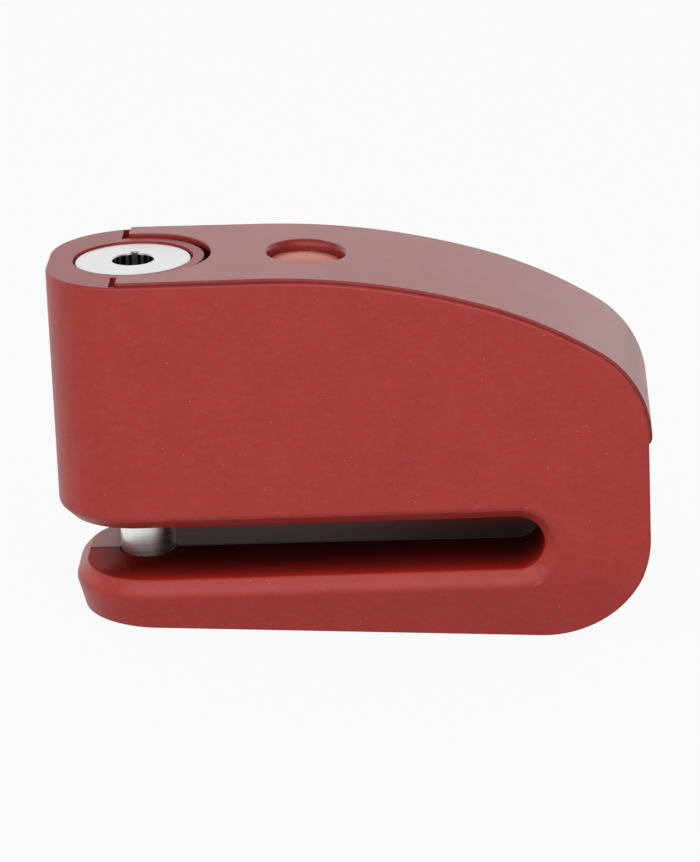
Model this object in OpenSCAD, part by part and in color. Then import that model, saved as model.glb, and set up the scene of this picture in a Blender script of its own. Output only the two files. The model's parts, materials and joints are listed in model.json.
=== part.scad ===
// Disc brake lock with alarm: a U-shaped casting, a push-to-lock pin and cylinder, an alarm under a cover
// Modelled along the pin (pin axis up, slot floor at zero), then leaned so that the base lies flat

/* [Disc slot] */
// Height of the disc slot at its mid plane
slot_mid = 9.2; // [8:0.1:11]
// Pin axis to the centre of the slot's round end
slot_reach = 67.4; // [60:0.1:75]
// Bevel round the mouth of the slot
slot_bevel = 2.1; // [1:0.1:3]
// Draft of the slot walls, from the mid plane to each side
slot_draft = 1; // [0.5:0.1:2]

/* [Body] */
// Depth across the two side faces, at the pin axis
body_depth = 38.8; // [36:0.2:44]
// Slot floor to the flat top
top_z = 54.9; // [52:0.1:60]
// Pin axis to the nose
nose_reach = 15.3; // [14.6:0.1:17]
// Corner radius of the nose, seen from above
nose_r = 15.4; // [13:0.1:17]
// Each side face's lean inwards towards the tail
side_taper = 0.9; // [0.3:0.1:1.2]
// Slot end to the tail
tail_wall = 18.8; // [16:0.1:22]
// Radius of the tail's lower corner
corner_r = 19; // [14:0.1:21]
// Large roof radius, next to the flat top
roof_r1 = 136; // [120:1:150]
// Middle roof radius
roof_r2 = 81; // [70:1:95]
// Small roof radius, over the tail
roof_r3 = 18.6; // [16:0.1:21]
// Slope at which the large roof radius ends
roof_turn1 = 17; // [14:0.5:19]
// Slope at which the middle roof radius ends
roof_turn2 = 33; // [28:0.5:36]

/* [Jaw] */
// Jaw thickness at the pin axis
jaw_t = 9.4; // [8:0.1:11]
// Slope of the base against the slot
base_lean = 3.4; // [2:0.1:4]
// Jaw nose set back from the upper nose
jaw_setback = 2.1; // [0.5:0.1:3]
// Inward lean of the jaw's side walls
jaw_draft = 14.5; // [6:0.5:18]

/* [Locking pin] */
// Pin diameter
pin_d = 10; // [8:0.1:11]
// Depth of the pin's hole in the jaw
seat_depth = 5.5; // [4.5:0.1:6]
// Space under the pin's tip
tip_gap = 0.5; // [0.4:0.1:1]
// Rise of the pin and cylinder when unlocked
lift = 14.6; // [14:0.1:15.5]

/* [Cylinder] */
// Cylinder bore diameter
bore_d = 21.6; // [20.8:0.1:22.4]
// Wall left between the slot and the cylinder bore
bore_floor = 5; // [4.5:0.1:6]
// Cap top below the flat top
cap_drop = 0.3; // [0.1:0.1:0.8]
// Cap thickness
cap_t = 2.6; // [2:0.1:3]
// Keyhole diameter
key_d = 7.5; // [6.5:0.1:8]
// Key plug diameter
plug_d = 14.6; // [14:0.1:15]
// Number of tumbler discs
disc_count = 6; // [4:1:6]
// Latch width
latch_w = 6; // [5:0.1:7]
// Latch throw
latch_throw = 2; // [1.5:0.1:2.2]

/* [Cover] */
// Cover thickness
cover_t = 2.4; // [2:0.1:3]
// Cover surface above the body's roof
cover_proud = 0.6; // [0.3:0.1:0.9]
// Body rim left outside the cover
cover_rim = 0.7; // [0.5:0.1:1]
// Gap between cover and rim
cover_gap = 0.15; // [0.1:0.05:0.3]
// Seal thickness
seal_t = 0.6; // [0.4:0.1:1]
// Collar left standing round the cylinder bore
collar_t = 2; // [1.6:0.1:2.4]
// Button centre from the pin axis
button_x = 31; // [29:0.5:34]
// Button diameter
button_d = 13.1; // [11:0.1:14]
// Button travel
button_travel = 1.2; // [0.8:0.1:1.5]
// Rounding of the button hole's edge
button_rim = 1.2; // [0.8:0.1:1.4]

/* [Alarm] */
// Wall between cylinder bore and alarm pocket
pocket_wall = 5.7; // [5:0.1:7]
// Side wall beside the alarm pocket, at the pin axis
pocket_side = 5; // [4.5:0.1:6]
// Floor between slot and alarm pocket
pocket_floor = 5.3; // [5:0.1:7]
// Pocket end to the tail
pocket_tail = 8; // [7.5:0.1:11]
// Button cell diameter
cell_d = 11.6; // [10:0.1:12]
// Button cell height
cell_h = 5.4; // [4.5:0.1:5.6]
// Siren diameter
siren_d = 23; // [20:0.5:24]
// Siren height
siren_h = 11; // [8:0.5:13]
// Circuit board thickness
board_t = 1.6; // [1:0.1:2]
// Board height above the pocket floor
board_rise = 23.5; // [20:0.5:25]

/* [Hidden] */
$fn = 128;

// Clearances: pressed, fitted, running, seated, sliding with play, through holes, free of moving pieces
press_gap = 0.02;
fit_gap = 0.05;
run_gap = 0.08;
seat_gap = 0.1;
slip_gap = 0.15;
hole_gap = 0.2;
free_gap = 0.3;
// Overrun of cuts past the faces they open
over = 2;
far = 150;
// Overlap of pieces that grow into one another
lap = 1;
sink = 0.5;
// Arcs stand this much proud where they run into a neighbour, so that the two cross cleanly
blend = 0.01;

// Roof: a chain of tangent arcs that starts at the flat top and ends upright at the tail
slot_r = slot_mid / 2;
half = body_depth / 2;
slot_edge = half * tan(slot_draft);
tail_x = slot_reach + slot_r + slot_edge + tail_wall;
function up(a) = [sin(a), cos(a)];
roof_flat = tail_x - roof_r3 - (roof_r2 - roof_r3) * sin(roof_turn2) - (roof_r1 - roof_r2) * sin(roof_turn1);
roof_c1 = [roof_flat, top_z - roof_r1];
roof_c2 = roof_c1 + (roof_r1 - roof_r2) * up(roof_turn1);
roof_c3 = roof_c2 + (roof_r2 - roof_r3) * up(roof_turn2);

// Base: a line below the jaw, tangent to the tail's lower corner
corner_x = tail_x - corner_r;
base_touch_x = corner_x - corner_r * sin(base_lean);
function base_z(x) = -jaw_t - x * tan(base_lean);
corner_z = base_z(base_touch_x) + corner_r * cos(base_lean);
// Start of the jaw's lean above the bevel's outer edge, so that the two faces meet
jaw_lead = 0.3;

// Nose, seen from above: two corner arcs that run into the tapered side faces
function nose_cx(shift) = nose_r - nose_reach + shift;
function nose_cy(shift) = half - (nose_r + nose_cx(shift) * sin(side_taper)) / cos(side_taper);
function side_start(shift) = nose_cx(shift) * cos(side_taper) + (half - nose_cy(shift)) * sin(side_taper);

// Place on the ground: base at zero, middle of the length at the origin
low_x = -nose_reach * cos(base_lean) - top_z * sin(base_lean);
high_x = corner_x * cos(base_lean) - corner_z * sin(base_lean) + corner_r;
ground = [-(low_x + high_x) / 2, 0, jaw_t * cos(base_lean)];

// Cylinder levels along the pin axis
bore_r = bore_d / 2;
barrel_r = bore_r - run_gap;
pin_r = pin_d / 2;
guide_r = pin_r + run_gap;
socket_r = pin_r + fit_gap;
bore_z = slot_mid + bore_floor;
barrel_lift = 0.4;
barrel_z = bore_z + barrel_lift;
cap_top = top_z - cap_drop;
cap_z = cap_top - cap_t;
pin_tip = tip_gap - seat_depth;
spigot_h = 1.5;
spigot_wall = 1.3;
plug_r = plug_d / 2;
spigot_r = plug_r + spigot_wall;
plug_top = cap_z - spigot_h - free_gap;
disc_t = 1.2;
disc_pitch = disc_t + free_gap;
plug_floor = 1.6;
plug_z = plug_top - disc_count * disc_pitch - plug_floor;
plug_wall = 1.4;
disc_r = plug_r - plug_wall - slip_gap;
key_r = key_d / 2;
key_notch = 1.1;
key_step = 0.3;
disc_hole_r = key_r - key_step;
gate_w = 1.3;
gate_d = 0.9;
bar_short = 0.4;
bar_reach = 0.6;
latch_h = 4;
latch_z = plug_z - free_gap - latch_h;
latch_back = 0.6;
latch_wall = 3;
latch_tip = barrel_r + latch_throw - latch_back;
drive_r = latch_throw / 2 / sin(45);
drive_pin_r = 1.2;
drive_lift = 0.4;
spring_roof = 6;
sleeve_wall = 1.6;
skirt_wall = 1.3;
recess_top = latch_z - spring_roof;
recess_in = pin_r + sleeve_wall;
recess_out = barrel_r - skirt_wall;
pin_roof = 1.5;
pin_top = latch_z - pin_roof;
cross_drop = 3.8;
cross_z = latch_z - cross_drop;
cross_r = 1.25;
guide_pin_r = 1.5;
guide_slot_r = guide_pin_r + free_gap;
guide_reach = 1.6;
guide_drop = 4.2;
guide_z = plug_top - guide_drop;
ring_r = 0.5;
ring_drop = 0.9;
ring_z = plug_top - ring_drop;
magnet_r = 1.5;
magnet_t = 1.5;
magnet_sink = 2;
magnet_turn = -60;
magnet_rise = 5.5;
magnet_z = latch_z + magnet_rise;
wiper_r = 0.55;
wiper_z = slot_mid + bore_floor / 2;
keyway_r = latch_tip + free_gap;

// Cover levels, measured from the roof
seat_d = cover_t - cover_proud + seal_t;
under_d = cover_proud - cover_t;
collar_r = bore_r + collar_t;
arm_x = -1.8;
arm_gap = 1.2;
arm_r = 1.2;
collar_gap = 0.7;
collar_shift = 0.5;
rib_t = 1.2;
rib_drop = 3;
seal_inset = 1;
seal_gap = 0.5;
button_r = button_d / 2;
button_turn = asin((button_x - roof_flat) / roof_r1);
button_hole_r = button_r + free_gap;
flange_lip = 1.5;
flange_r = button_r + flange_lip;
boss_wall = 1.8;
boss_r = flange_r + free_gap + boss_wall;
flange_top = -3.7;
flange_t = 1.2;
spring_h = 4.5;
retainer_t = 1.2;
retainer_top = flange_top - flange_t - spring_h;
boss_end = retainer_top - retainer_t;
dome_edge = -1.9;
dome_rise = 0.9;
dome_r = (button_r * button_r + dome_rise * dome_rise) / (2 * dome_rise);
stem_r = 2;
stem_gap = 0.5;
spring_inset = 1.6;

// Alarm compartment
pocket_z = slot_mid + pocket_floor;
pocket_x0 = bore_r + pocket_wall;
pocket_x1 = tail_x - pocket_tail;
pocket_half = half - pocket_side;
pocket_corner = 4;
board_z = pocket_z + board_rise;
board_top = board_z + board_t;
board_gap = 1;
post_r = 2.4;
post_hole_r = 1.1;
post_hole_depth = 8;
post_gap = 0.4;
post_end_gap = 0.6;
post_x0 = pocket_x0 + post_r + post_end_gap;
siren_r = siren_d / 2;
siren_gap = 1.5;
siren_wall = 1.4;
siren_lip = 0.8;
siren_roof = 2;
siren_step = 2.5;
diaphragm_t = 0.5;
siren_x = pocket_x1 - siren_r - siren_gap;
post_x1 = siren_x - siren_r - post_r - post_gap;
post_y = pocket_half - post_r - post_gap;
tray_gap = 0.8;
tray_x0 = post_x0 + post_r + tray_gap;
cell_count = 3;
tray_wall = 0.9;
row_gap = 0.6;
contact_t = 0.6;
contact_inset = 1;
stack_len = cell_count * cell_h;
tray_x1 = tray_x0 + stack_len + 2 * (contact_t + tray_wall) + 4 * seat_gap;
cell_r = cell_d / 2;
cell_y = cell_r + row_gap / 2;
cell_z = pocket_z + tray_wall + cell_r + seat_gap;
cell_x0 = tray_x0 + tray_wall + contact_t + 2 * seat_gap;
screw_x = (tray_x1 + siren_x - siren_r) / 2;
screw_r = 1.95;
screw_head_r = 3.5;
screw_head_h = 3.2;
screw_sink = 4;
screw_seat = slot_mid + screw_sink;
hex_r = 1.7;
hex_depth = 2;
screw_boss_h = 3;
screw_post_r = 3.2;
screw_boss_wall = 1.2;
screw_post_gap = 0.6;
screw_post_z = pocket_z + screw_boss_h + seat_gap;
screw_len = 13;
board_screw_r = 2;
board_screw_h = 1.4;
board_screw_len = 6;
board_edge = 0.5;
chip_w = 7;
chip_h = 1.6;
sensor_r = 2.5;
sensor_h = 6;
reed_r = 1;
reed_len = 12;
led_x = 4.5;
led_foot = [1.6, 1.2];
led_lens = [1.3, 1.8];
tact_w = 6;
tact_h = 2.2;
tact_r = 1.7;
button_axis_x = button_x + (cover_proud + boss_end) * sin(button_turn);
switch_top = roof_c1[1] + (roof_r1 + cover_proud + retainer_top - button_travel) * cos(button_turn)
    - stem_r * sin(button_turn) - seat_gap;

// Stand the lock, modelled along its pin, on its base
module grounded() translate(ground) rotate([0, -base_lean, 0]) children();

// Turn a side view (length, height) into a solid of the given depth
module across(depth) rotate([90, 0, 0]) linear_extrude(depth, center = true) children();

// Disc, kept only on the near side of the line that leaves its centre at slope a, from straight up
module near_side(centre, r, a) translate(centre) intersection() {
    circle(r, $fn = 720);
    rotate(-a) translate([-2 * far, -2 * far]) square([2 * far, 4 * far]);
}

// Side view of everything under the roof raised by d
module roof(d) {
    translate([-far, -far]) square([far + roof_flat, far + top_z + d]);
    near_side(roof_c1, roof_r1 + d + blend, roof_turn1);
    near_side(roof_c2, roof_r2 + d + 2 * blend, roof_turn2);
    translate(roof_c3) circle(roof_r3 + d + 3 * blend, $fn = 360);
    translate([roof_flat - over, -far]) square([tail_x + d - roof_flat + over, far + roof_c3[1]]);
}

// Side view of a layer of the roof between two heights, down to a level on the tail
module roof_layer(d_out, d_in, level) difference() {
    intersection() {
        roof(d_out);
        translate([-far, level]) square(2 * far);
    }
    roof(d_in);
}

// Side view of the whole body
module side_view() intersection() {
    roof(0);
    union() {
        translate([-far, corner_z]) square(2 * far);
        polygon([[-far, base_z(-far)], [base_touch_x, base_z(base_touch_x)], [corner_x, corner_z],
            [corner_x, corner_z + over], [-far, corner_z + over]]);
        translate([corner_x, corner_z]) circle(corner_r + blend, $fn = 360);
    }
}

// Plan of the nose, moved back by shift: two corner discs and the flat between them
module nose_plan(r, shift) {
    cx = nose_cx(shift);
    cy = nose_cy(shift);
    for (side = [-1, 1]) translate([cx, side * cy]) circle(r + blend, $fn = 360);
    translate([cx - r, -cy]) square([r + over, 2 * cy]);
}

// Plan of the body, drawn in by inset
module plan(inset = 0) {
    r = nose_r - inset;
    touch_x = nose_cx(0) + r * sin(side_taper);
    touch_y = nose_cy(0) + r * cos(side_taper);
    end_y = touch_y - (far - touch_x) * tan(side_taper);
    polygon([[touch_x, -touch_y], [far, -end_y], [far, end_y], [touch_x, touch_y]]);
    nose_plan(r, 0);
}

// Run a section (outwards, up) round the nose
module round_nose(shift) {
    cx = nose_cx(shift);
    cy = nose_cy(shift);
    spare = 5;
    for (side = [0, 1]) mirror([0, side, 0])
        translate([cx, cy, 0]) rotate([0, 0, 90 - side_taper - spare])
            rotate_extrude(angle = 90 + side_taper + 2 * spare, $fn = 360)
                translate([nose_r - blend, 0]) children();
    translate([cx - nose_r, -cy - lap, 0]) rotate([90, 0, 180]) linear_extrude(2 * (cy + lap)) children();
}

// Run a section round the nose and along both side faces
module round_outside(shift) {
    start = side_start(shift) - lap;
    round_nose(shift) children();
    for (side = [0, 1]) mirror([0, side, 0]) on_side() translate([start, 0, 0])
        rotate([90, 0, 90]) linear_extrude(far) children();
}

// Frame of the rear side face: length along the face, outwards across it
module on_side() translate([0, half, 0]) rotate([0, 0, -side_taper]) children();

// Half of the slot, from the mid plane out through the rear face
module slot_half() {
    inner = half + over;
    grow = tan(slot_draft);
    mouth = slot_r + grow * (half - slot_bevel);
    intersection() {
        translate([-far, 0, -far]) cube(2 * far);
        on_side() translate([slot_reach, 0, slot_r]) {
            slot_run(slot_r - grow * over, slot_r + grow * half, -inner, 0, far);
            slot_run(mouth, mouth + slot_bevel + over, -slot_bevel, over, slot_reach - side_start(0) + lap);
        }
    }
}

// Slot with a round end, widening from r0 at depth y0 to r1 at depth y1
module slot_run(r0, r1, y0, y1, length) {
    rotate([90, 0, -90]) linear_extrude(length)
        polygon([[-y0, -r0], [-y1, -r1], [-y1, r1], [-y0, r0]]);
    intersection() {
        translate([0, y0, 0]) rotate([-90, 0, 0]) cylinder(h = y1 - y0, r1 = r0, r2 = r1);
        translate([0, y0, -far]) cube([far, y1 - y0, 2 * far]);
    }
}

// Plan of the alarm pocket, drawn in by inset
module pocket_plan(inset = 0) {
    x0 = pocket_x0 + inset;
    x1 = pocket_x1 - inset;
    y1 = pocket_half - inset;
    r = pocket_corner - inset;
    translate([x0 + r, -y1]) square([x1 - x0 - 2 * r, 2 * y1]);
    translate([x0, r - y1]) square([x1 - x0, 2 * (y1 - r)]);
    for (x = [x0 + r, x1 - r], y = [r - y1, y1 - r]) translate([x, y]) circle(r + blend);
}

// Places of the four board posts
module at_posts() for (x = [post_x0, post_x1], y = [-post_y, post_y]) translate([x, y, 0]) children();

// Frame of the button: on the cover's surface, square to it
module at_button() translate([roof_c1[0], 0, roof_c1[1]]) rotate([0, button_turn, 0])
    translate([0, 0, roof_r1 + cover_proud]) children();

// Cast body with slot, jaw, bores, cover seat and alarm pocket
module body_casting() {
    color("firebrick") grounded() {
        difference() {
            body_block();
            for (side = [0, 1]) mirror([0, side, 0]) slot_half();
            nose_bevels();
            jaw_lean();
            cylinder_bores();
            cover_seat();
            translate([0, 0, pocket_z]) linear_extrude(far) pocket_plan();
            translate([screw_x, 0, slot_r]) cylinder(h = screw_seat - slot_r, r = screw_head_r + free_gap);
            translate([screw_x, 0, slot_r]) cylinder(h = far, r = screw_r + hole_gap);
        }
        difference() {
            translate([screw_x, 0, pocket_z - sink])
                cylinder(h = screw_boss_h + sink, r = screw_post_r + screw_boss_wall);
            translate([screw_x, 0, 0]) cylinder(h = far, r = screw_r + hole_gap);
        }
        at_posts() difference() {
            translate([0, 0, pocket_z - sink]) cylinder(h = board_rise + sink, r = post_r);
            translate([0, 0, board_z - post_hole_depth])
                cylinder(h = post_hole_depth + lap, r = post_hole_r);
        }
    }
}

// Outer block, cut to the side view, with the jaw's nose set back
module body_block() difference() {
    intersection() {
        across(2 * far) side_view();
        translate([0, 0, -far]) linear_extrude(2 * far) plan();
    }
    difference() {
        translate([-far, -far, -far]) cube([far + nose_cx(jaw_setback), 2 * far, far + slot_r]);
        translate([0, 0, -2 * far]) linear_extrude(4 * far) nose_plan(nose_r, jaw_setback);
    }
}

// Bevels that carry the slot's mouth round both noses
module nose_bevels() {
    edge = tan(slot_draft) * (half - slot_bevel);
    roof_z = slot_mid + edge;
    reach = slot_bevel + lap;
    round_nose(0) polygon([[-reach, roof_z - lap], [lap, roof_z + reach], [lap, roof_z - lap]]);
    round_nose(jaw_setback) polygon([[-reach, lap - edge], [lap, lap - edge], [lap, -edge - reach]]);
}

// Inward lean of the jaw's outside, below the bevel
module jaw_lean() {
    crease = -tan(slot_draft) * half - slot_bevel + jaw_lead;
    deep = jaw_t + tail_x * tan(base_lean) + over;
    out = 3 * over;
    round_outside(jaw_setback)
        polygon([[over * tan(jaw_draft), crease + over], [-deep * tan(jaw_draft), crease - deep],
            [out, crease - deep], [out, crease + over]]);
}

// Bores for pin, cylinder, guide pin and latch
module cylinder_bores() {
    translate([0, 0, -seat_depth]) cylinder(h = seat_depth + over, r = pin_r + free_gap);
    translate([0, 0, slot_r]) cylinder(h = far, r = guide_r);
    translate([0, 0, bore_z]) cylinder(h = far, r = bore_r);
    translate([0, 0, wiper_z - wiper_r - seat_gap])
        cylinder(h = 2 * (wiper_r + seat_gap), r = pin_r + free_gap + 2 * wiper_r + slip_gap);
    translate([-latch_w / 2 - free_gap, 0, latch_z - free_gap]) intersection() {
        cube([latch_w + 2 * free_gap, keyway_r + over, latch_h + lift + 2 * free_gap]);
        translate([latch_w / 2 + free_gap, 0, 0]) cylinder(h = far, r = keyway_r);
    }
    translate([0, 0, guide_z]) rotate([0, 90, 0])
        cylinder(h = pocket_x0 + over, r = guide_pin_r + press_gap);
}

// Recess that the cover drops into
module cover_seat() {
    lip_end = roof_c3[1] - cover_t / 2 - free_gap;
    difference() {
        intersection() {
            across(2 * far) roof_layer(3 * over, -seat_d, lip_end);
            linear_extrude(far) plan(cover_rim);
        }
        cylinder(h = far, r = collar_r);
        translate([arm_x - arm_gap - far, -far, 0]) cube([far, 2 * far, far]);
    }
}

// Curved cover with its locating rib, screw post and button well
module top_cover() {
    color("firebrick") grounded() difference() {
        union() {
            cover_skin();
            intersection() {
                across(2 * far) roof_layer(-lap, under_d - rib_drop, roof_c3[1]);
                linear_extrude(far) difference() {
                    pocket_plan(free_gap);
                    pocket_plan(free_gap + rib_t);
                }
            }
            intersection() {
                across(2 * far) roof(-lap);
                translate([screw_x, 0, screw_post_z]) cylinder(h = far, r = screw_post_r);
            }
            intersection() {
                across(2 * far) roof(0);
                at_button() translate([0, 0, boss_end]) cylinder(h = -boss_end, r = boss_r);
            }
        }
        at_button() {
            translate([0, 0, flange_top + free_gap]) cylinder(h = far, r = button_hole_r);
            translate([0, 0, boss_end - over])
                cylinder(h = flange_top + free_gap - boss_end + over, r = flange_r + free_gap);
            rotate_extrude() difference() {
                translate([0, -button_rim]) square([button_hole_r + button_rim, button_rim + over]);
                translate([button_hole_r + button_rim, -button_rim]) circle(button_rim);
            }
        }
        translate([screw_x, 0, 0]) cylinder(h = screw_seat + screw_len + sink, r = screw_r + press_gap);
    }
}

// Cover skin: a layer of the roof with a rounded lip on the tail, cut round the collar
module cover_skin() difference() {
    intersection() {
        across(2 * far) {
            roof_layer(cover_proud, under_d, roof_c3[1]);
            translate([tail_x + (cover_proud + under_d) / 2, roof_c3[1]]) intersection() {
                circle(cover_t / 2);
                translate([-cover_t, -cover_t]) square([2 * cover_t, cover_t]);
            }
        }
        linear_extrude(far) plan(cover_rim + cover_gap);
    }
    translate([collar_shift, 0, 0]) cylinder(h = far, r = collar_r + collar_gap);
    translate([arm_x - far, -far, 0]) cube([far, 2 * far, far]);
    linear_extrude(far) for (side = [0, 1]) mirror([0, side]) arm_corner();
}

// What is cut away to round an arm's inner corner, next to the collar
module arm_corner() {
    open_r = collar_r + collar_gap;
    x = arm_x + arm_r;
    y = sqrt(pow(open_r + arm_r, 2) - pow(x - collar_shift, 2));
    touch = [collar_shift, 0] + [x - collar_shift, y] * open_r / (open_r + arm_r);
    difference() {
        polygon([[x, y], [arm_x - over, y], [arm_x - over, touch[1] - lap],
            [touch[0], touch[1] - lap], touch]);
        translate([x, y]) circle(arm_r + blend);
    }
}

// Flat seal between the cover and its seat
module cover_seal() {
    color("dimgray") grounded() difference() {
        intersection() {
            across(2 * far) roof_layer(under_d, -seat_d, roof_c3[1]);
            linear_extrude(far) plan(cover_rim + seal_inset);
        }
        translate([collar_shift, 0, 0]) cylinder(h = far, r = collar_r + collar_gap + seal_gap);
        translate([arm_x + seal_inset - far, -far, 0]) cube([far, 2 * far, far]);
        linear_extrude(far) pocket_plan(-free_gap);
    }
}

// Socket head screw, reached through the slot, that holds the cover
module cover_screw() {
    color("gray") grounded() translate([screw_x, 0, screw_seat]) difference() {
        union() {
            translate([0, 0, -screw_head_h]) cylinder(h = screw_head_h, r = screw_head_r);
            cylinder(h = screw_len, r = screw_r);
        }
        translate([0, 0, -screw_head_h - lap]) cylinder(h = hex_depth + lap, r = hex_r, $fn = 6);
    }
}

// Dowel that keeps the cylinder from turning in its bore
module guide_pin() {
    color("silver") grounded() translate([bore_r - guide_reach, 0, guide_z]) rotate([0, 90, 0])
        cylinder(h = pocket_x0 - bore_r + guide_reach, r = guide_pin_r);
}

// Wiper ring round the locking pin
module pin_seal() {
    color("black") grounded() translate([0, 0, wiper_z]) rotate_extrude()
        translate([pin_r + free_gap + wiper_r, 0]) circle(wiper_r, $fn = 32);
}

// Steel pin that goes through the disc
module locking_pin() {
    chamfer = 0.8;
    color("gainsboro") grounded() difference() {
        rotate_extrude() polygon([[0, pin_tip], [pin_r - chamfer, pin_tip], [pin_r, pin_tip + chamfer],
            [pin_r, pin_top], [0, pin_top]]);
        translate([0, 0, cross_z]) rotate([90, 0, 0])
            cylinder(h = far, r = cross_r + press_gap, center = true);
    }
}

// Barrel that slides in the bore and carries pin, plug and latch
module cylinder_barrel() {
    color("silver") grounded() difference() {
        translate([0, 0, barrel_z]) cylinder(h = cap_z - barrel_z, r = barrel_r);
        translate([0, 0, barrel_z - over]) cylinder(h = pin_top + seat_gap - barrel_z + over, r = socket_r);
        translate([0, 0, barrel_z - over]) difference() {
            cylinder(h = recess_top - barrel_z + over, r = recess_out);
            cylinder(h = recess_top - barrel_z + over, r = recess_in);
        }
        translate([0, 0, cross_z]) rotate([90, 0, 0])
            cylinder(h = far, r = cross_r + press_gap, center = true);
        translate([-latch_w / 2 - slip_gap, latch_wall - barrel_r, latch_z - slip_gap])
            cube([latch_w + 2 * slip_gap, 2 * barrel_r, latch_h + 2 * slip_gap]);
        translate([0, 0, latch_z + latch_h]) cylinder(h = far, r = drive_r + drive_pin_r + lap);
        translate([0, 0, plug_z - seat_gap]) cylinder(h = far, r = plug_r + run_gap);
        translate([0, 0, cap_z - spigot_h]) cylinder(h = far, r = spigot_r + fit_gap);
        translate([bore_r - guide_reach - free_gap, -guide_slot_r, guide_z - lift - guide_slot_r])
            cube([far, 2 * guide_slot_r, lift + 2 * guide_slot_r]);
        translate([0, 0, ring_z]) difference() {
            cylinder(h = 2 * (ring_r + seat_gap), r = far, center = true);
            cylinder(h = far, r = barrel_r - 2 * ring_r - fit_gap, center = true);
        }
        rotate([0, 0, magnet_turn]) translate([barrel_r - magnet_sink, 0, magnet_z]) rotate([0, 90, 0])
            cylinder(h = far, r = magnet_r + fit_gap);
    }
}

// Roll pin through barrel and locking pin
module cross_pin() {
    color("gray") grounded() translate([0, 0, cross_z]) rotate([90, 0, 0])
        cylinder(h = 2 * (barrel_r - lap), r = cross_r, center = true);
}

// Outline of the keyhole: a round hole with one notch
module keyhole(r) {
    circle(r);
    translate([-key_notch / 2, 0]) square([key_notch, r + key_notch]);
}

// Bright cap with the keyhole
module cylinder_cap() {
    edge = 0.35;
    cap_r = barrel_r - slip_gap;
    color("white") grounded() difference() {
        union() {
            rotate_extrude() polygon([[0, cap_z], [cap_r, cap_z], [cap_r, cap_top - edge],
                [cap_r - edge, cap_top], [0, cap_top]]);
            translate([0, 0, cap_z - spigot_h]) cylinder(h = spigot_h + sink, r = spigot_r);
        }
        linear_extrude(far) keyhole(key_r);
    }
}

// Ring seal near the top of the barrel
module barrel_seal() {
    color("black") grounded() translate([0, 0, ring_z]) rotate_extrude()
        translate([barrel_r - ring_r, 0]) circle(ring_r - press_gap, $fn = 32);
}

// Magnet that tells the alarm where the cylinder stands
module arming_magnet() {
    color("dimgray") grounded() rotate([0, 0, magnet_turn])
        translate([barrel_r - magnet_sink + fit_gap, 0, magnet_z]) rotate([0, 90, 0])
            cylinder(h = magnet_t, r = magnet_r);
}

// Turning plug: a cage for the tumbler discs with a drive pin under it
module key_plug() {
    color("goldenrod") grounded() {
        difference() {
            translate([0, 0, plug_z]) cylinder(h = plug_top - plug_z, r = plug_r);
            translate([0, 0, plug_z + plug_floor]) cylinder(h = far, r = plug_r - plug_wall);
            translate([plug_r - plug_wall - lap, -gate_w / 2, plug_z + plug_floor]) cube([far, gate_w, far]);
        }
        rotate([0, 0, 45]) translate([drive_r, 0, latch_z + drive_lift])
            cylinder(h = plug_z - latch_z, r = drive_pin_r);
    }
}

// Stack of tumbler discs with their gates in line
module tumbler_discs() {
    color("khaki") grounded() for (i = [0 : disc_count - 1])
        translate([0, 0, plug_z + plug_floor + seat_gap + i * disc_pitch])
            linear_extrude(disc_t) difference() {
                circle(disc_r);
                keyhole(disc_hole_r);
                translate([disc_r - gate_d, -gate_w / 2]) square([over, gate_w]);
            }
}

// Bar that lies in the gates and in the plug's slot
module sidebar() {
    length = disc_count * disc_pitch - bar_short;
    color("silver") grounded()
        translate([disc_r - gate_d + seat_gap, fit_gap - gate_w / 2, plug_z + plug_floor + seat_gap])
            cube([plug_r - disc_r + bar_reach, gate_w - 2 * fit_gap, length]);
}

// Latch that the drive pin draws in and out of the body's keyway
module lock_latch() {
    slot_x = drive_r + drive_pin_r + free_gap;
    color("silver") grounded() translate([0, 0, latch_z]) linear_extrude(latch_h) difference() {
        intersection() {
            translate([-latch_w / 2, -barrel_r / 2]) square([latch_w, far]);
            circle(latch_tip);
        }
        translate([-latch_back, latch_throw / 2 - drive_pin_r - slip_gap])
            square([slot_x + latch_back, 2 * (drive_pin_r + slip_gap)]);
    }
}

// Point of a helix at turn t
function helix(r, pitch, t) = [r * cos(360 * t), r * sin(360 * t), pitch * t];

// Wound spring: one unbroken tube of six sides, eight rings a turn
module coil(r, wire, pitch, turns) {
    rings = ceil(turns * 8);
    sides = 6;
    rise = atan2(pitch, 2 * PI * r);
    ring = [for (i = [0 : rings]) let (t = turns * i / rings, c = helix(r, pitch, t))
        [for (k = [0 : sides - 1]) let (a = 360 * k / sides, ro = wire / 2 * cos(a), up = wire / 2 * sin(a))
            c + [ro * cos(360 * t) + up * sin(rise) * sin(360 * t),
                ro * sin(360 * t) - up * sin(rise) * cos(360 * t), up * cos(rise)]]];
    points = [for (loop = ring) each loop];
    walls = [for (i = [0 : rings - 1], k = [0 : sides - 1]) let (a = i * sides + k,
        b = i * sides + (k + 1) % sides) each [[a, a + sides, b], [b, a + sides, b + sides]]];
    last = rings * sides;
    ends = [for (k = [1 : sides - 2]) each [[0, k, k + 1], [last, last + k + 1, last + k]]];
    echo(spring_gap = pitch * cos(rise) - wire);
    polyhedron(points, concat(walls, ends));
}

// Spring that lifts the cylinder when it is unlocked
module plunger_spring() {
    wire = 1.4;
    turns = 5;
    length = recess_top - bore_z - 2 * free_gap;
    color("lightgray") grounded() translate([0, 0, bore_z + free_gap + wire / 2])
        coil((recess_in + recess_out) / 2, wire, (length - wire) / turns, turns);
}

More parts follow.
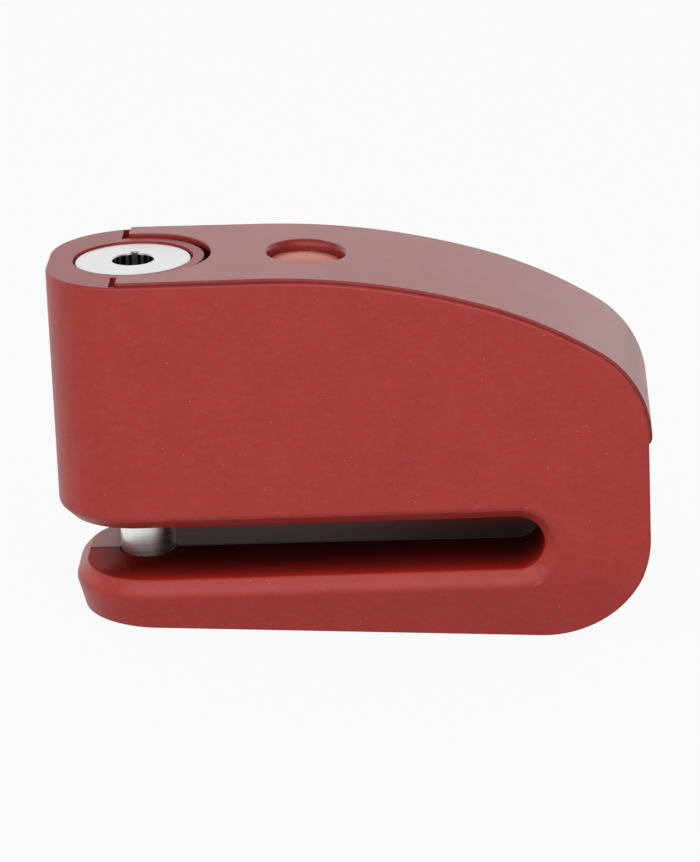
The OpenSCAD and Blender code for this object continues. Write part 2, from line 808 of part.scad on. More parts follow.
// Sunken button with a crowned top, a flange and a stem
module alarm_button() {
    color("tomato") grounded() at_button() {
        intersection() {
            translate([0, 0, flange_top - sink]) cylinder(h = far, r = button_r);
            translate([0, 0, dome_edge + dome_rise - dome_r]) sphere(dome_r, $fn = 96);
        }
        translate([0, 0, flange_top - flange_t]) cylinder(h = flange_t, r = flange_r);
        translate([0, 0, retainer_top]) cylinder(h = flange_top - retainer_top, r = stem_r);
    }
}

// Return spring of the button
module button_spring() {
    wire = 0.8;
    turns = 2.5;
    color("lightgray") grounded() at_button() translate([0, 0, retainer_top + seat_gap + wire / 2])
        coil(flange_r - spring_inset, wire, (spring_h - 2 * seat_gap - wire) / turns, turns);
}

// Ring pressed into the button well below the spring
module button_retainer() {
    color("black") grounded() at_button() translate([0, 0, boss_end]) difference() {
        cylinder(h = retainer_t, r = flange_r + free_gap - fit_gap);
        translate([0, 0, -lap]) cylinder(h = far, r = stem_r + stem_gap);
    }
}

// Tray that holds two rows of button cells
module battery_tray() {
    y1 = cell_y + cell_r + tray_wall;
    color("black") grounded() difference() {
        translate([tray_x0, -y1, pocket_z]) cube([tray_x1 - tray_x0, 2 * y1, tray_wall + cell_r]);
        for (y = [-cell_y, cell_y]) translate([tray_x0 + tray_wall, y, cell_z]) rotate([0, 90, 0])
            cylinder(h = tray_x1 - tray_x0 - 2 * tray_wall, r = cell_r + seat_gap);
    }
}

// Two rows of button cells
module button_cells() {
    color("lightgray") grounded() for (y = [-cell_y, cell_y], i = [0 : cell_count - 1])
        translate([cell_x0 + i * cell_h + press_gap, y, cell_z]) rotate([0, 90, 0])
            cylinder(h = cell_h - 2 * press_gap, r = cell_r);
}

// Contact plates at both ends of the rows
module battery_contacts() {
    color("goldenrod") grounded() for (x = [tray_x0 + tray_wall + seat_gap, cell_x0 + stack_len + seat_gap],
        y = [-cell_y, cell_y]) translate([x, y, cell_z]) rotate([0, 90, 0])
            cylinder(h = contact_t, r = cell_r - contact_inset);
}

// Circuit board on the four posts, with corners like the pocket's
module circuit_board() {
    x1 = post_x1 + post_r + board_edge;
    color("darkgreen") grounded() translate([0, 0, board_z]) linear_extrude(board_t) difference() {
        intersection() {
            pocket_plan(board_gap);
            translate([0, -far]) square([x1, 2 * far]);
        }
        for (x = [post_x0, post_x1], y = [-post_y, post_y]) translate([x, y]) circle(post_hole_r + free_gap);
        translate([screw_x, 0]) circle(screw_post_r + screw_post_gap);
    }
}

// Screws that hold the board
module board_screws() {
    color("silver") grounded() at_posts() {
        translate([0, 0, board_top]) cylinder(h = board_screw_h, r = board_screw_r);
        translate([0, 0, board_z - board_screw_len])
            cylinder(h = board_screw_len + board_t + sink, r = post_hole_r - fit_gap);
    }
}

// Alarm controller
module control_chip() {
    color("black") grounded() translate([screw_x - screw_post_r - 2 * screw_post_gap - chip_w,
        post_y - post_r - chip_w, board_top]) cube([chip_w, chip_w, chip_h]);
}

// Can that senses knocks and tilting
module shock_sensor() {
    color("silver") grounded() translate([screw_x, -screw_post_r - screw_post_gap - sensor_r, board_top])
        cylinder(h = sensor_h, r = sensor_r);
}

// Light under the button
module indicator_led() {
    color("red") grounded() translate([button_x + led_x, 0, board_top]) {
        cylinder(h = led_foot[1], r = led_foot[0]);
        cylinder(h = led_lens[1], r = led_lens[0]);
    }
}

// Switch that the button's stem presses
module tact_switch() {
    color("black") grounded() translate([button_axis_x, 0, board_top]) {
        translate([-tact_w / 2, -tact_w / 2, 0]) cube([tact_w, tact_w, tact_h]);
        cylinder(h = switch_top - board_top, r = tact_r);
    }
}

// Reed switch that the magnet works
module reed_switch() {
    color("palegreen") grounded() translate([pocket_x0 + board_gap + reed_r, 0, board_top + reed_r])
        rotate([90, 0, 0]) cylinder(h = reed_len, r = reed_r, center = true);
}

// Sounder case with an open mouth towards the floor
module siren_housing() {
    color("black") grounded() translate([siren_x, 0, pocket_z]) difference() {
        cylinder(h = siren_h, r = siren_r);
        translate([0, 0, -lap]) cylinder(h = siren_h - siren_roof + lap, r = siren_r - siren_wall);
        translate([0, 0, -lap]) cylinder(h = siren_step + lap, r = siren_r - siren_lip);
    }
}

// Thin disc that makes the sound
module siren_diaphragm() {
    color("goldenrod") grounded() translate([siren_x, 0, pocket_z + siren_step - diaphragm_t - seat_gap])
        cylinder(h = diaphragm_t, r = siren_r - siren_lip - seat_gap);
}

body_casting();
top_cover();
cover_seal();
cover_screw();
guide_pin();
pin_seal();
locking_pin();
cylinder_barrel();
cross_pin();
cylinder_cap();
barrel_seal();
arming_magnet();
key_plug();
tumbler_discs();
sidebar();
lock_latch();
plunger_spring();
alarm_button();
button_spring();
button_retainer();
battery_tray();
button_cells();
battery_contacts();
circuit_board();
board_screws();
control_chip();
shock_sensor();
indicator_led();
tact_switch();
reed_switch();
siren_housing();
siren_diaphragm();
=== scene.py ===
"""Looks of a disc brake lock with alarm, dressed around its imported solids.

The lock's own frame has the pin's axis up and the slot's floor at zero. The row leans that frame so that the
lock lies on its base.
"""

import json
import logging
import math
from dataclasses import dataclass, field
from enum import Enum
from functools import partialmethod

import bmesh
import bpy
from bmesh.types import BMEdge, BMesh, BMFace
from bpy.types import ID, Material, Mesh, Node, NodeOutputs, NodeSocket as Socket, NodeTree, Object
from mathutils import Matrix, Vector


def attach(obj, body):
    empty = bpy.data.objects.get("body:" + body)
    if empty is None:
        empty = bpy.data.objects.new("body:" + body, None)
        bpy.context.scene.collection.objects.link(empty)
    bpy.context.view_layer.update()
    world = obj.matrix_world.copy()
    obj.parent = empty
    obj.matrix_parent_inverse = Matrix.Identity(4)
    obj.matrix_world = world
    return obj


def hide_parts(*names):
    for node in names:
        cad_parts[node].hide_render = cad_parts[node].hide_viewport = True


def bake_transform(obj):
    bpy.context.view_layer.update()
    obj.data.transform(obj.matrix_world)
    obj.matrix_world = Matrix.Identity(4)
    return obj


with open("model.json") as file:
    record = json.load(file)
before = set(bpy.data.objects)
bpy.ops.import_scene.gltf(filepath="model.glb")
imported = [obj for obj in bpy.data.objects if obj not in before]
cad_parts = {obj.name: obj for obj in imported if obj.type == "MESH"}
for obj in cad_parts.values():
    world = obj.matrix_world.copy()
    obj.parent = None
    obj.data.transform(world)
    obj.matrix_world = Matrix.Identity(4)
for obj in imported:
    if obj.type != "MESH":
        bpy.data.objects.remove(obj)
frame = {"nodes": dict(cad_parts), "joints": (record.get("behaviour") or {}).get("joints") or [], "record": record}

LOG = logging.getLogger("disc_lock")
MM = 0.001
# Mean of a noise, which is taken off it to vary a value around zero
MEAN = 0.5
WHITE = (1, 1, 1, 1)
Range = tuple[float, float]
Triple = tuple[float, float, float]
Value = float | Socket


@dataclass(frozen=True)
class LockFrame:
    """The lock's own frame in the row: along the lock, across it, and up the pin's axis."""

    matrix: Matrix

    @classmethod
    def from_joints(cls, joints: list[dict], pivot_rise: float = 40 * MM) -> "LockFrame":
        """Read the frame from the plunger's axis and the key's pivot.

        Args:
            joints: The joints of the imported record.
            pivot_rise: Height of the key's pivot above the slot's floor.

        Returns:
            The lock's frame.
        """
        named = {joint["name"]: joint for joint in joints}
        up = Vector(named["plunger_slide"]["axis"]).normalized()
        across = Vector((0, 1, 0))
        along = across.cross(up)
        origin = Vector(named["key_turn"]["pos_m"]) - pivot_rise * up
        turn = Matrix((along, across, up)).transposed()
        return cls(Matrix.Translation(origin) @ turn.to_4x4())

    def millimetres(self, point: Vector) -> Vector:
        """Give a row point in millimetres of the lock's own frame."""
        return self.matrix.inverted() @ point / MM

    def turn(self) -> Triple:
        """Give the Euler angles that turn row coordinates into the lock's own."""
        return tuple(self.matrix.inverted().to_euler())


LOCK = LockFrame.from_joints(frame["joints"])


@dataclass(frozen=True)
class LockForm:
    """The lock's outer sizes in millimetres of its own frame, to tell where a point of a shell lies."""

    half: float = 19.4
    taper: float = math.radians(0.9)
    nose: float = 15.3
    nose_r: float = 15.4
    jaw_setback: float = 2.1
    top: float = 54.9
    flat_end: float = 22.472709
    roof_radii: Triple = (136.0, 81.0, 18.6)
    roof_turns: Range = (math.radians(17), math.radians(33))
    slot_middle: float = 4.6
    slot_reach: float = 67.4
    tail: float = 91.139
    corner_r: float = 19.0
    jaw: float = 9.4
    lean: float = math.radians(3.4)
    jaw_lean: float = math.radians(14.5)
    fold: float = -2.139

    def slot_distance(self, place: Vector) -> float:
        """Give the distance from the slot's middle line."""
        return math.hypot(max(place.x - self.slot_reach, 0), place.z - self.slot_middle)

    def plan_depth(self, place: Vector, setback: float = 0.0) -> float:
        """Give how far a point lies inside the outline seen from above.

        Args:
            place: The point.
            setback: How far the nose is moved back, as the jaw's is.

        Returns:
            The depth below the nearest upright face.
        """
        centre = Vector((self.nose_r - self.nose + setback, self.half - self.nose_r))
        across = abs(place.y)
        if place.x > centre.x:
            return (self.half - place.x * math.tan(self.taper)) - across
        if across < centre.y:
            return place.x - centre.x + self.nose_r
        return self.nose_r - math.hypot(place.x - centre.x, across - centre.y)

    def roof_centres(self) -> list[Vector]:
        """Lay the roof's tangent arcs one after the other.

        Returns:
            The centres of the three arcs, in the side view.
        """
        centre = Vector((self.flat_end, self.top - self.roof_radii[0]))
        centres = [centre]
        for turn, big, small in zip(self.roof_turns, self.roof_radii, self.roof_radii[1:]):
            centre = centre + (big - small) * Vector((math.sin(turn), math.cos(turn)))
            centres.append(centre)
        return centres

    def roof_depth(self, place: Vector) -> float:
        """Give how far a point lies below the roof, or inside the tail below the roof's end.

        Args:
            place: The point.

        Returns:
            The depth, below zero for a point outside.
        """
        if place.x < self.flat_end:
            return self.top - place.z
        centres = self.roof_centres()
        if place.z < centres[2].y:
            return self.tail - place.x
        spot = Vector((place.x, place.z))
        for centre, radius, turn in zip(centres, self.roof_radii, (*self.roof_turns, math.pi)):
            away = spot - centre
            if math.atan2(away.x, away.y) < turn:
                return radius - away.length
        return self.top - place.z

    def base_depth(self, place: Vector) -> float:
        """Give how far a point lies above the base or inside the tail's lower corner.

        Args:
            place: The point.

        Returns:
            The depth, below zero for a point outside.
        """
        corner = Vector((self.tail - self.corner_r, 0))
        touch = corner.x - self.corner_r * math.sin(self.lean)
        corner.y = self.corner_r * math.cos(self.lean) - self.jaw - touch * math.tan(self.lean)
        if place.x < touch:
            return place.z + self.jaw + place.x * math.tan(self.lean)
        return self.corner_r - (Vector((place.x, min(place.z, corner.y))) - corner).length


FORM = LockForm()


@dataclass(frozen=True)
class Noise:
    """The make of a noise: its scale, its finer layers and their strength."""

    scale: float
    detail: float = 2.0
    rough: float = 0.5


class Nodes:
    """A node tree under construction, with short ways to add and link nodes."""

    colour_a: int = 6
    colour_b: int = 7
    colour_out: int = 2

    def __init__(self, tree: NodeTree) -> None:
        """Start from an empty tree."""
        self.tree = tree
        tree.nodes.clear()

    def feed(self, socket: Socket, value: object) -> None:
        """Link a socket to another one, or give it a constant.

        Args:
            socket: The socket.
            value: The other socket, or the constant.
        """
        if isinstance(value, Socket):
            self.tree.links.new(value, socket)
        else:
            socket.default_value = value

    def add(self, kind: str, **settings: object) -> Node:
        """Add a node.

        Args:
            kind: The node's type name, without its ShaderNode prefix where it has one.
            settings: Properties to set, and under inputs a dict of socket values.

        Returns:
            The new node.
        """
        name = kind if kind.startswith("Node") else f"ShaderNode{kind}"
        node = self.tree.nodes.new(name)
        inputs = settings.pop("inputs", {})
        for key, value in settings.items():
            setattr(node, key, value)
        for key, value in inputs.items():
            self.feed(node.inputs[key], value)
        return node

    def math(self, operation: str, a: Value, b: Value = 0.0) -> Socket:
        """Combine two values."""
        return self.add("Math", operation=operation, inputs={0: a, 1: b}).outputs[0]

    plus = partialmethod(math, "ADD")
    minus = partialmethod(math, "SUBTRACT")
    times = partialmethod(math, "MULTIPLY")
    above = partialmethod(math, "GREATER_THAN")
    below = partialmethod(math, "LESS_THAN")

    def flip(self, mask: Value) -> Socket:
        """Turn a mask round, so that 0 becomes 1."""
        return self.minus(1.0, mask)

    def line(self, value: Value, slope: float, start: float) -> Socket:
        """Give a value times a slope plus a start."""
        return self.add("Math", operation="MULTIPLY_ADD", inputs={0: value, 1: slope, 2: start}).outputs[0]

    def ramp(self, value: Value, low: float, high: float) -> Socket:
        """Map a value smoothly from low..high to 0..1."""
        return self.add("MapRange", interpolation_type="SMOOTHSTEP",
                        inputs={"Value": value, "From Min": low, "From Max": high}).outputs["Result"]

    def split(self, vector: Socket) -> NodeOutputs:
        """Give a vector's three parts."""
        return self.add("SeparateXYZ", inputs={"Vector": vector}).outputs

    def join(self, **parts: Socket) -> Socket:
        """Give the vector that has the named parts."""
        return self.add("CombineXYZ", inputs=parts).outputs["Vector"]

    def length(self, **parts: Socket) -> Socket:
        """Give the length of the vector that has the named parts."""
        return self.add("VectorMath", operation="LENGTH", inputs={0: self.join(**parts)}).outputs["Value"]

    def noise(self, place: Socket, make: Noise, scale: Socket) -> Socket:
        """Give a noise of a make, at the scale that a group's input sets."""
        return self.add("TexNoise", inputs={"Vector": place, "Scale": scale, "Detail": make.detail,
                                            "Roughness": make.rough}).outputs["Fac"]

    def narrowing(self, along: Socket) -> Socket:
        """Give how much narrower the lock is on each side at a place along it."""
        return self.times(along, math.tan(FORM.taper))

    def mix(self, share: Value, a: Triple | Socket, b: Triple | Socket) -> Socket:
        """Mix two colours.

        Args:
            share: How much of the second colour shows.
            a: The first colour.
            b: The second colour.

        Returns:
            The mixed colour.
        """
        node = self.add("Mix", data_type="RGBA", inputs={"Factor": share})
        for key, value in ((self.colour_a, a), (self.colour_b, b)):
            self.feed(node.inputs[key], value if isinstance(value, Socket) else (*value, 1))
        return node.outputs[self.colour_out]


class EffectGroup:
    """A shader node group that several finishes share."""

    def __init__(self, name: str, outputs: list[str], **inputs: float) -> None:
        """Make the group and its sockets.

        Args:
            name: The group's name.
            outputs: The outputs' names.
            inputs: Each input's name and default value. All groups also take a Place vector.
        """
        self.tree = bpy.data.node_groups.new(name, "ShaderNodeTree")
        face = self.tree.interface
        face.new_socket("Place", in_out="INPUT", socket_type="NodeSocketVector")
        for key, value in inputs.items():
            face.new_socket(key, in_out="INPUT", socket_type="NodeSocketFloat").default_value = value
        for key in outputs:
            face.new_socket(key, in_out="OUTPUT", socket_type="NodeSocketFloat")
        self.nodes = Nodes(self.tree)
        self.entry = self.nodes.add("NodeGroupInput").outputs
        self.exit = self.nodes.add("NodeGroupOutput").inputs

    def out(self, name: str, socket: Socket) -> None:
        """Link a socket to one of the group's outputs."""
        self.tree.links.new(socket, self.exit[name])

    def place(self, nodes: Nodes, where: Socket, **values: float) -> NodeOutputs:
        """Put the group into a material.

        Args:
            nodes: The material's nodes.
            where: The coordinates that the effect reads.
            values: Values of the group's inputs, by name.

        Returns:
            The group node's outputs.
        """
        node = nodes.add("Group", node_tree=self.tree)
        nodes.tree.links.new(where, node.inputs["Place"])
        for key, value in values.items():
            node.inputs[key].default_value = value
        return node.outputs


@dataclass(frozen=True)
class SprayGrain:
    """The fine, slightly cloudy grain of sprayed paint."""

    fine: Noise = Noise(4200.0, 3.0, 0.65)
    middle: Noise = Noise(850.0, 5.0, 0.72)
    broad: Noise = Noise(120.0)
    stretch: Triple = (0.6, 1, 1)
    fine_share: float = 0.7
    tone: Range = (0.3, 0.7)
    mottle: Range = (0.35, 0.75)

    def build(self) -> EffectGroup:
        """Build the group.

        Returns:
            The group: a tone and a mottle for colours, a height, and a sheen around zero.
        """
        group = EffectGroup("spray_grain", ["Tone", "Height", "Sheen", "Mottle"], Fine=self.fine.scale,
                            Middle=self.middle.scale, Broad=self.broad.scale)
        nodes = group.nodes
        where = group.entry["Place"]
        fine = nodes.noise(where, self.fine, group.entry["Fine"])
        broad = nodes.noise(where, self.broad, group.entry["Broad"])
        streak = nodes.add("Mapping", inputs={"Vector": where, "Scale": self.stretch}).outputs["Vector"]
        middle = nodes.noise(streak, self.middle, group.entry["Middle"])
        both = nodes.plus(nodes.times(fine, self.fine_share), nodes.times(broad, 1 - self.fine_share))
        group.out("Tone", nodes.ramp(both, *self.tone))
        group.out("Mottle", nodes.ramp(middle, *self.mottle))
        group.out("Height", fine)
        group.out("Sheen", nodes.minus(broad, MEAN))
        return group


@dataclass(frozen=True)
class DustSpecks:
    """Sparse pale specks, as of dust caught in paint."""

    density: float = 560.0
    size: float = 0.065
    share: float = 0.72

    def build(self) -> EffectGroup:
        """Build the group.

        Returns:
            The group: a mask of the specks.
        """
        group = EffectGroup("dust_specks", ["Mask"], Density=self.density, Size=self.size, Share=self.share)
        nodes = group.nodes
        cell = nodes.add("TexVoronoi", inputs={
            "Vector": group.entry["Place"], "Scale": group.entry["Density"]})
        near = nodes.below(cell.outputs["Distance"], group.entry["Size"])
        tint = nodes.add("SeparateColor", inputs={"Color": cell.outputs["Color"]}).outputs["Red"]
        group.out("Mask", nodes.times(near, nodes.above(tint, group.entry["Share"])))
        return group


@dataclass(frozen=True)
class TurnedRings:
    """The fine rings that turning leaves round the up axis, with a few broader bands."""

    fine: Noise = Noise(9000.0)
    broad: Noise = Noise(900.0)
    fine_share: float = 0.6
    tone: Range = (0.25, 0.75)

    def build(self) -> EffectGroup:
        """Build the group.

        Returns:
            The group: a tone for colours and a height.
        """
        group = EffectGroup("turned_rings", ["Tone", "Height"], Fine=self.fine.scale, Broad=self.broad.scale)
        nodes = group.nodes
        part = nodes.split(group.entry["Place"])
        level = nodes.join(X=nodes.length(X=part["X"], Y=part["Y"]), Z=part["Z"])
        fine = nodes.noise(level, self.fine, group.entry["Fine"])
        broad = nodes.noise(level, self.broad, group.entry["Broad"])
        both = nodes.plus(nodes.times(fine, self.fine_share), nodes.times(broad, 1 - self.fine_share))
        group.out("Tone", nodes.ramp(both, *self.tone))
        group.out("Height", both)
        return group


@dataclass(frozen=True)
class HandlingMarks:
    """Faint smudges and short scuffs that change the gloss."""

    smudge: Noise = Noise(140.0, 4.0, 0.6)
    scuff: Noise = Noise(900.0)
    turn: Triple = (0.3, 0.2, 0.6)
    stretch: Triple = (0.08, 1, 1)
    thin: Range = (0.68, 0.74)
    scuff_share: float = 0.3

    def build(self) -> EffectGroup:
        """Build the group.

        Returns:
            The group: a change of gloss around zero.
        """
        group = EffectGroup("handling_marks", ["Gloss"], Smudge=self.smudge.scale, Scuff=self.scuff.scale)
        nodes = group.nodes
        where = group.entry["Place"]
        smudge = nodes.noise(where, self.smudge, group.entry["Smudge"])
        drawn = nodes.add("Mapping", inputs={"Vector": where, "Rotation": self.turn, "Scale": self.stretch})
        scuff = nodes.noise(drawn.outputs["Vector"], self.scuff, group.entry["Scuff"])
        thin = nodes.ramp(scuff, *self.thin)
        group.out("Gloss", nodes.plus(nodes.minus(smudge, MEAN), nodes.times(thin, self.scuff_share)))
        return group


@dataclass(frozen=True)
class SlotShade:
    """Masks of the slot's inside, with painted shade that deepens away from its mouths, and of its casting's
    parting line.
    """

    # rim, nose and fade set where the slot's painted shade starts and how fast it deepens
    rim: float = 17.3 * MM
    nose: float = -10.9 * MM
    fade: float = 4.6 * MM
    edge: Range = (4.95 * MM, 5.10 * MM)
    nose_share: float = 0.7
    far: Range = (0.1 * MM, 0.6 * MM)
    fresh: Range = (3.0 * MM, 9.0 * MM)
    shut: Range = (20 * MM, FORM.slot_reach * MM)
    fresh_gloss: float = 0.12
    rear_fresh: float = 0.25
    rear_shut: float = 0.065
    rear_gloss: float = 0.02
    floor_top: float = 2.0 * MM
    seam_end: float = -8.4 * MM
    seam_front: float = -4.0 * MM
    seam_grows: Range = (-2.4 * MM, -0.2 * MM)
    seam_thin: float = 0.16 * MM
    seam_growth: float = 0.38 * MM
    seam_edge: Range = (0.5, 1.0)
    # crest and crest_start place the painted highlight along the slot floor's ridge
    crest: Range = (0.14 * MM, 0.28 * MM)
    crest_start: float = 5.2 * MM

    def gloss(self, nodes: Nodes, part: NodeOutputs, from_nose: Socket) -> Socket:
        """Give the gloss of the slot's inside: most by the nose, and more on its rear half.

        Args:
            nodes: The group's nodes.
            part: The place's three parts.
            from_nose: The distance from the nose.

        Returns:
            The gloss.
        """
        far = nodes.ramp(part["Y"], *self.far)
        fresh = nodes.flip(nodes.ramp(from_nose, *self.fresh))
        shut = nodes.flip(nodes.ramp(part["X"], *self.shut))
        rear = nodes.plus(nodes.times(fresh, self.rear_fresh), nodes.times(shut, self.rear_shut))
        rear = nodes.times(far, nodes.plus(rear, self.rear_gloss))
        return nodes.plus(nodes.times(fresh, self.fresh_gloss), rear)

    def build(self) -> EffectGroup:
        """Build the group.

        Returns:
            The group: masks of painted shade, of gloss, of the parting line and of a painted highlight on the
                ridge along the floor.
        """
        group = EffectGroup("slot_shade", ["PaintedShade", "Gloss", "Parting", "Ridge"], Rim=self.rim, Nose=self.nose,
                            Fade=self.fade)
        nodes = group.nodes
        part = nodes.split(group.entry["Place"])
        beyond = nodes.math("MAXIMUM", nodes.minus(part["X"], FORM.slot_reach * MM), 0.0)
        level = nodes.minus(part["Z"], FORM.slot_middle * MM)
        inside = nodes.flip(nodes.ramp(nodes.length(X=beyond, Z=level), *self.edge))
        across = nodes.math("ABSOLUTE", part["Y"])
        from_side = nodes.minus(nodes.minus(group.entry["Rim"], nodes.narrowing(part["X"])), across)
        from_nose = nodes.minus(part["X"], group.entry["Nose"])
        nearest = nodes.math("MINIMUM", from_side, nodes.times(from_nose, self.nose_share))
        depth = nodes.math("MAXIMUM", nearest, 0.0)
        # painted shade: the colour darkens deeper inside the slot, as light from its mouths falls off
        light_reach = nodes.math("EXPONENT", nodes.math("DIVIDE", nodes.times(depth, -1.0), group.entry["Fade"]))
        group.out("PaintedShade", nodes.times(inside, nodes.flip(light_reach)))
        group.out("Gloss", nodes.times(inside, self.gloss(nodes, part, from_nose)))
        low = nodes.below(part["Z"], self.floor_top)
        shown = nodes.times(low, nodes.above(part["Z"], self.seam_end))
        broad = nodes.line(nodes.ramp(part["Z"], *self.seam_grows), self.seam_growth, self.seam_thin)
        seam = nodes.flip(nodes.ramp(nodes.math("DIVIDE", across, broad), *self.seam_edge))
        front = nodes.below(part["X"], self.seam_front)
        group.out("Parting", nodes.times(seam, nodes.times(shown, front)))
        # painted highlight: a pale line along the floor's ridge, where its edge catches light
        crest = nodes.flip(nodes.ramp(across, *self.crest))
        deep = nodes.times(inside, nodes.above(part["X"], self.crest_start))
        group.out("Ridge", nodes.times(crest, nodes.times(low, deep)))
        return group


@dataclass(frozen=True)
class TailFold:
    """The height that softens the fold where the tail's sides start to lean in."""

    level: float = FORM.fold * MM
    reach: float = 9.0 * MM
    side: Range = (2.5 * MM, 3.5 * MM)
    behind: Range = ((FORM.slot_reach - 1) * MM, (FORM.slot_reach + 9) * MM)

    def build(self) -> EffectGroup:
        """Build the group.

        Returns:
            The group: a height in metres.
        """
        group = EffectGroup("tail_fold", ["Height"], Level=self.level, Reach=self.reach)
        nodes = group.nodes
        part = nodes.split(group.entry["Place"])
        from_fold = nodes.math("ABSOLUTE", nodes.minus(part["Z"], group.entry["Level"]))
        left = nodes.math("MAXIMUM", nodes.minus(group.entry["Reach"], from_fold), 0.0)
        bow = nodes.math("DIVIDE", nodes.times(left, left), group.entry["Reach"])
        height = nodes.times(bow, -math.tan(FORM.jaw_lean / 2) / 2)
        width = nodes.minus(FORM.half * MM, nodes.narrowing(part["X"]))
        depth = nodes.minus(width, nodes.math("ABSOLUTE", part["Y"]))
        side = nodes.flip(nodes.ramp(depth, *self.side))
        behind = nodes.ramp(part["X"], *self.behind)
        group.out("Height", nodes.times(height, nodes.times(side, behind)))
        return group


@dataclass(frozen=True)
class GrooveShade:
    """A mask of the groove between the collar and the cover, where it is deepest in shade."""

    inner: float = 12.4 * MM
    outer: float = 15.6 * MM
    top: float = 54.5 * MM
    bottom: float = 40 * MM
    right: Range = (4 * MM, 11 * MM)

    def build(self) -> EffectGroup:
        """Build the group.

        Returns:
            The group: the mask.
        """
        group = EffectGroup("groove_shade", ["Mask"], Inner=self.inner, Outer=self.outer, Top=self.top)
        nodes = group.nodes
        part = nodes.split(group.entry["Place"])
        radius = nodes.length(X=part["X"], Y=part["Y"])
        beyond = nodes.above(radius, group.entry["Inner"])
        ring = nodes.times(beyond, nodes.below(radius, group.entry["Outer"]))
        sunk = nodes.times(nodes.below(part["Z"], group.entry["Top"]), nodes.above(part["Z"], self.bottom))
        right = nodes.ramp(part["X"], *self.right)
        group.out("Mask", nodes.times(right, nodes.times(ring, sunk)))
        return group


@dataclass(frozen=True)
class Effects:
    """The node groups that the finishes share."""

    grain: EffectGroup = field(default_factory=SprayGrain().build)
    specks: EffectGroup = field(default_factory=DustSpecks().build)
    rings: EffectGroup = field(default_factory=TurnedRings().build)
    marks: EffectGroup = field(default_factory=HandlingMarks().build)
    slot: EffectGroup = field(default_factory=SlotShade().build)
    fold: EffectGroup = field(default_factory=TailFold().build)
    groove: EffectGroup = field(default_factory=GrooveShade().build)


EFFECTS = Effects()


@dataclass(frozen=True)
class Finish:
    """A surface finish: a name, two close colours and a gloss, for the shader's own sockets."""

    name: str
    colour: Triple
    shade: Triple
    roughness: float
    spread: float = 0.05
    depth: float = 0.004 * MM
    specular: float = 0.5

    def start(self) -> tuple[Material, Nodes, Socket]:
        """Make an empty material.

        Returns:
            The material, its nodes, and the coordinates in the lock's own frame.
        """
        material = bpy.data.materials.new(self.name)
        material.use_nodes = True
        material.diffuse_color = (*self.colour, 1)
        nodes = Nodes(material.node_tree)
        place = nodes.add("TexCoord").outputs["Object"]
        lock = nodes.add("Mapping", vector_type="POINT", inputs={
            "Vector": place, "Rotation": LOCK.turn(), "Location": LOCK.matrix.inverted().translation})
        return material, nodes, lock.outputs["Vector"]

    def close(self, nodes: Nodes, colour: Socket, rough: Socket, height: Socket,
              **sockets: float) -> Node:
        """End a material with its shader.

        Args:
            nodes: The material's nodes.
            colour: The base colour's socket.
            rough: A socket that varies the roughness around zero.
            height: The height socket of the surface's grain.
            sockets: Constant values for the shader's own sockets, with _ for a space.

        Returns:
            The shader node.
        """
        bump = nodes.add("Bump", inputs={"Strength": 1.0, "Distance": self.depth, "Height": height})
        gloss = nodes.line(rough, self.spread, self.roughness)
        shader = nodes.add("BsdfPrincipled", inputs={
            "Base Color": colour, "Roughness": gloss, "Normal": bump.outputs["Normal"],
            "Specular IOR Level": self.specular})
        for key, value in sockets.items():
            shader.inputs[key.replace("_", " ")].default_value = value
        end = nodes.add("OutputMaterial")
        nodes.tree.links.new(shader.outputs["BSDF"], end.inputs["Surface"])
        return shader


@dataclass(frozen=True)
class SprayedPaint(Finish):
    """Satin sprayed paint on a casting."""

    speck: Triple = (0.46, 0.150, 0.130)
    # colour of the painted shade inside the slot and in the groove's shaded end
    painted_shade: Triple = (0.020, 0.0036, 0.0032)
    line: Triple = (0.010, 0.002, 0.002)
    # colour of the painted highlight on the slot floor's ridge
    ridge_highlight: Triple = (0.110, 0.075, 0.075)
    # painted shade: the casting's top faces, within 0.4 mm of the top, are painted darker for how light falls on
    # them
    top_shade: Triple = (0.235, 0.0210, 0.0180)
    top_shade_level: Range = ((FORM.top - 0.4) * MM, (FORM.top - 0.05) * MM)
    haze: Triple = (0.44, 0.20, 0.18)
    haze_share: float = 0.07
    coated: bool = False
    coat_roughness: float = 0.12

    def material(self) -> Material:
        """Build the paint.

        Returns:
            The material.
        """
        material, nodes, place = self.start()
        grain = EFFECTS.grain.place(nodes, place)
        marks = EFFECTS.marks.place(nodes, place)
        slot = EFFECTS.slot.place(nodes, place)
        colour = nodes.mix(grain["Tone"], self.shade, self.colour)
        layers = (
            (nodes.times(grain["Mottle"], self.haze_share), self.haze),
            # painted shade on the casting's top faces
            (nodes.ramp(nodes.split(place)["Z"], *self.top_shade_level), self.top_shade),
            (EFFECTS.specks.place(nodes, place)["Mask"], self.speck),
            # painted shade inside the slot, and in the shaded end of the groove by the collar
            (slot["PaintedShade"], self.painted_shade),
            (EFFECTS.groove.place(nodes, place)["Mask"], self.painted_shade),
            (slot["Parting"], self.line),
            # painted highlight along the slot floor's ridge
            (slot["Ridge"], self.ridge_highlight),
        )
        for share, tint in layers:
            colour = nodes.mix(share, colour, tint)
        rough = nodes.plus(grain["Sheen"], marks["Gloss"])
        fold = EFFECTS.fold.place(nodes, place)
        height = nodes.plus(grain["Height"], nodes.math("DIVIDE", fold["Height"], self.depth))
        shader = self.close(nodes, colour, rough, height, Coat_Roughness=self.coat_roughness)
        if self.coated:
            nodes.tree.links.new(slot["Gloss"], shader.inputs["Coat Weight"])
        return material


